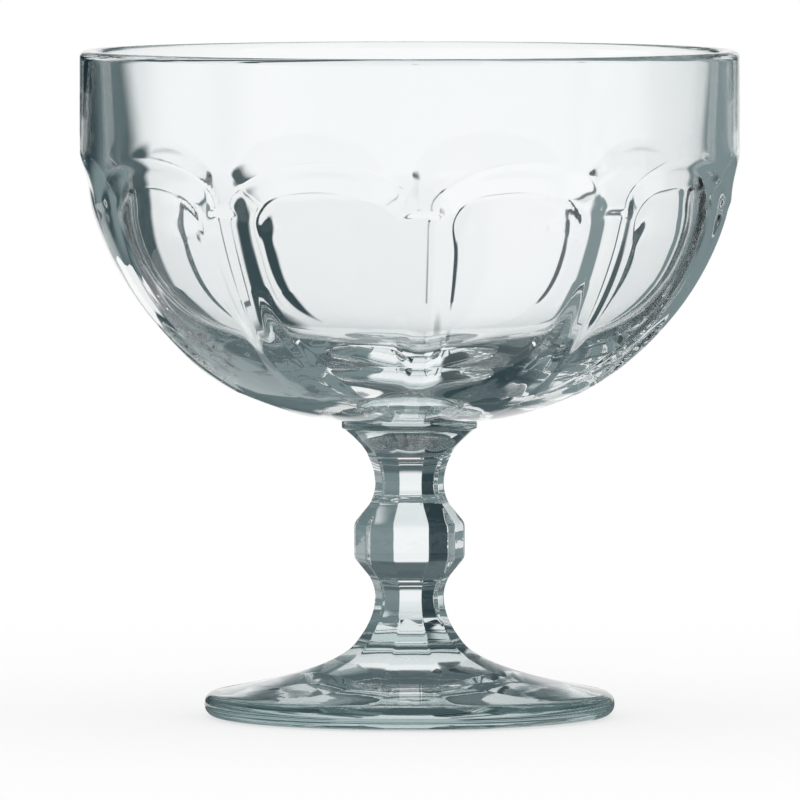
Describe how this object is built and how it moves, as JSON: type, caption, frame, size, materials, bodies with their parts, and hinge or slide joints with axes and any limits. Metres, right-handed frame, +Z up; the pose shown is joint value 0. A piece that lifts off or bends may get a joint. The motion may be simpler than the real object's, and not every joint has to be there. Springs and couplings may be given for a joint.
{
  "type": "ice cream glass",
  "caption": "Footed coupe of clear pressed glass with arched flat panels round the bowl, a faceted stem with a knop and a round spreading foot; holds ice cream or a dessert.",
  "frame": {"origin": "centre of the flat ring that the foot stands on", "axes": "+Z up the stem through the centre of the bowl, -Y is the front, with a land of the bowl facing it"},
  "size_m": [0.108, 0.108, 0.109],
  "materials": {
    "bowl_glass": "clear fire-polished pressed glass",
    "stem_glass": "clear fire-polished pressed glass, ten flat sides",
    "foot_glass": "clear fire-polished pressed glass"
  },
  "bodies": {
    "root": {"bowl": "bowl_glass", "collar": "stem_glass", "upper_stem": "stem_glass", "knop": "stem_glass", "lower_stem": "stem_glass", "foot": "foot_glass"}
  },
  "joints": []
}
